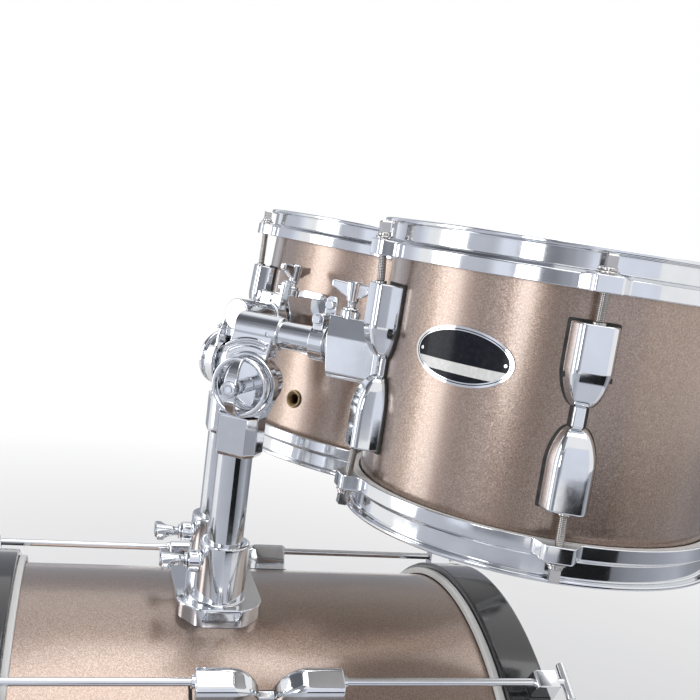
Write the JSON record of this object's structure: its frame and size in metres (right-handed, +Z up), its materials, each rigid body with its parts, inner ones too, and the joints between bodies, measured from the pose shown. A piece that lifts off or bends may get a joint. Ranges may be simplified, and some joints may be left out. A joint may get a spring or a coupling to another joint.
{
  "type": "drum kit",
  "caption": "Drum kit: a bass drum on folding spurs that carries two rack toms on tilting tube arms with ring knobs and memory locks.",
  "frame": {"origin": "on the floor, in the middle of the kit's footprint", "axes": "+Z up; the drummer sits on the +Y side and the audience is on the -Y side; +X is the drummer's left"},
  "size_m": [0.7192, 0.5928, 0.8685],
  "materials": {
    "lacquer": "bronze metallic sparkle lacquer over wood",
    "chrome": "polished chrome plate",
    "film": "coated plastic film in a metal ring",
    "badge": "black enamel with a chrome rim",
    "brass": "lacquered brass",
    "hoop": "gloss black lacquer",
    "rubber": "matt black rubber"
  },
  "bodies": {
    "bass_drum": {"bass_drum_front_head": "film", "bass_drum_front_hoop": "hoop", "bass_drum_lug_1": "chrome", "bass_drum_lug_2": "chrome", "bass_drum_lug_3": "chrome", "bass_drum_lug_4": "chrome", "bass_drum_lug_5": "chrome", "bass_drum_lug_6": "chrome", "bass_drum_rear_head": "film", "bass_drum_rear_hoop": "hoop", "bass_drum_shell": "lacquer", "left_spur_bracket": "chrome", "post_bracket": "chrome", "right_spur_bracket": "chrome"},
    "left_spur": {"left_spur_leg": "chrome", "left_spur_foot": "rubber"},
    "left_post_wing_bolt": {"left_post_wing_bolt": "chrome"},
    "left_post": {"left_post": "chrome"},
    "left_swivel": {"left_swivel_casting": "chrome"},
    "left_ring_knob": {"left_ring_knob": "chrome"},
    "left_tilt": {"left_tilt_casting": "chrome", "left_tom_arm": "chrome"},
    "left_lock": {"left_memory_lock": "chrome"},
    "high_tom": {"high_tom_air_vent": "brass", "high_tom_badge": "badge", "high_tom_batter_head": "film", "high_tom_batter_hoop": "chrome", "high_tom_bracket": "chrome", "high_tom_lug_1": "chrome", "high_tom_lug_2": "chrome", "high_tom_lug_3": "chrome", "high_tom_lug_4": "chrome", "high_tom_lug_5": "chrome", "high_tom_resonant_head": "film", "high_tom_resonant_hoop": "chrome", "high_tom_shell": "lacquer"},
    "high_tom_wing_bolt": {"high_tom_wing_bolt": "chrome"},
    "right_spur": {"right_spur_leg": "chrome", "right_spur_foot": "rubber"},
    "right_post_wing_bolt": {"right_post_wing_bolt": "chrome"},
    "right_post": {"right_post": "chrome"},
    "right_swivel": {"right_swivel_casting": "chrome"},
    "right_ring_knob": {"right_ring_knob": "chrome"},
    "right_tilt": {"right_tilt_casting": "chrome", "right_tom_arm": "chrome"},
    "right_lock": {"right_memory_lock": "chrome"},
    "mid_tom": {"mid_tom_air_vent": "brass", "mid_tom_batter_head": "film", "mid_tom_batter_hoop": "chrome", "mid_tom_bracket": "chrome", "mid_tom_lug_1": "chrome", "mid_tom_lug_2": "chrome", "mid_tom_lug_3": "chrome", "mid_tom_lug_4": "chrome", "mid_tom_lug_5": "chrome", "mid_tom_resonant_head": "film", "mid_tom_resonant_hoop": "chrome", "mid_tom_shell": "lacquer"},
    "mid_tom_wing_bolt": {"mid_tom_wing_bolt": "chrome"}
  },
  "joints": [
    {"name": "left_post_slide", "type": "slide", "parent": "bass_drum", "child": "left_post", "axis": [0, 0, 1], "range_m": [-0.015, 0.06]},
    {"name": "left_post_wing_turn", "type": "hinge", "parent": "bass_drum", "child": "left_post_wing_bolt", "pos_m": [0.0342, -0.07417, 0.55998], "axis": [0, -1, 0], "range_deg": [0, 270]},
    {"name": "left_swivel", "type": "hinge", "parent": "left_post", "child": "left_swivel", "pos_m": [0.0342, -0.07417, 0.717], "axis": [0, 0, 1], "range_deg": [-40, 1.5]},
    {"name": "left_tilt", "type": "hinge", "parent": "left_swivel", "child": "left_tilt", "pos_m": [0.04032, -0.0654, 0.717], "axis": [-0.8201, 0.5721, 0], "range_deg": [-20, 15]},
    {"name": "left_ring_knob_turn", "type": "hinge", "parent": "left_swivel", "child": "left_ring_knob", "pos_m": [0.04032, -0.0654, 0.717], "axis": [0.8201, -0.5721, 0], "range_deg": [0, 270]},
    {"name": "left_arm_roll", "type": "hinge", "parent": "left_tilt", "child": "left_lock", "pos_m": [0.07093, -0.02152, 0.75944], "axis": [0.5721, 0.8201, -0.0105], "range_deg": [-10, 10]},
    {"name": "high_tom_slide", "type": "slide", "parent": "left_lock", "child": "high_tom", "axis": [0.5721, 0.8201, -0.0105], "range_m": [0, 0.04]},
    {"name": "high_tom_wing_turn", "type": "hinge", "parent": "high_tom", "child": "high_tom_wing_bolt", "pos_m": [0.08269, -0.00467, 0.75923], "axis": [-0.0341, 0.0365, 0.9988], "range_deg": [0, 270]},
    {"name": "left_spur_fold", "type": "hinge", "parent": "bass_drum", "child": "left_spur", "pos_m": [0.27232, -0.16917, 0.16687], "axis": [0.9397, 0, -0.342], "range_deg": [0, 115]},
    {"name": "right_post_slide", "type": "slide", "parent": "bass_drum", "child": "right_post", "axis": [0, 0, 1], "range_m": [-0.015, 0.06]},
    {"name": "right_post_wing_turn", "type": "hinge", "parent": "bass_drum", "child": "right_post_wing_bolt", "pos_m": [-0.0342, -0.07417, 0.55998], "axis": [0, -1, 0], "range_deg": [0, 270]},
    {"name": "right_swivel", "type": "hinge", "parent": "right_post", "child": "right_swivel", "pos_m": [-0.0342, -0.07417, 0.717], "axis": [0, 0, 1], "range_deg": [-1.5, 40]},
    {"name": "right_tilt", "type": "hinge", "parent": "right_swivel", "child": "right_tilt", "pos_m": [-0.04047, -0.06551, 0.717], "axis": [-0.81, -0.5864, 0], "range_deg": [-25, 8]},
    {"name": "right_ring_knob_turn", "type": "hinge", "parent": "right_swivel", "child": "right_ring_knob", "pos_m": [-0.04047, -0.06551, 0.717], "axis": [-0.81, -0.5864, 0], "range_deg": [0, 270]},
    {"name": "right_arm_roll", "type": "hinge", "parent": "right_tilt", "child": "right_lock", "pos_m": [-0.0582, -0.04102, 0.7571], "axis": [-0.5833, 0.8057, -0.1028], "range_deg": [-10, 10]},
    {"name": "mid_tom_slide", "type": "slide", "parent": "right_lock", "child": "mid_tom", "axis": [-0.5833, 0.8057, -0.1028], "range_m": [0, 0.05]},
    {"name": "mid_tom_wing_turn", "type": "hinge", "parent": "mid_tom", "child": "mid_tom_wing_bolt", "pos_m": [-0.07019, -0.02446, 0.75499], "axis": [-0.0461, 0.0935, 0.9946], "range_deg": [0, 270]},
    {"name": "right_spur_fold", "type": "hinge", "parent": "bass_drum", "child": "right_spur", "pos_m": [-0.27232, -0.16917, 0.16687], "axis": [0.9397, 0, 0.342], "range_deg": [0, 115]}
  ]
}
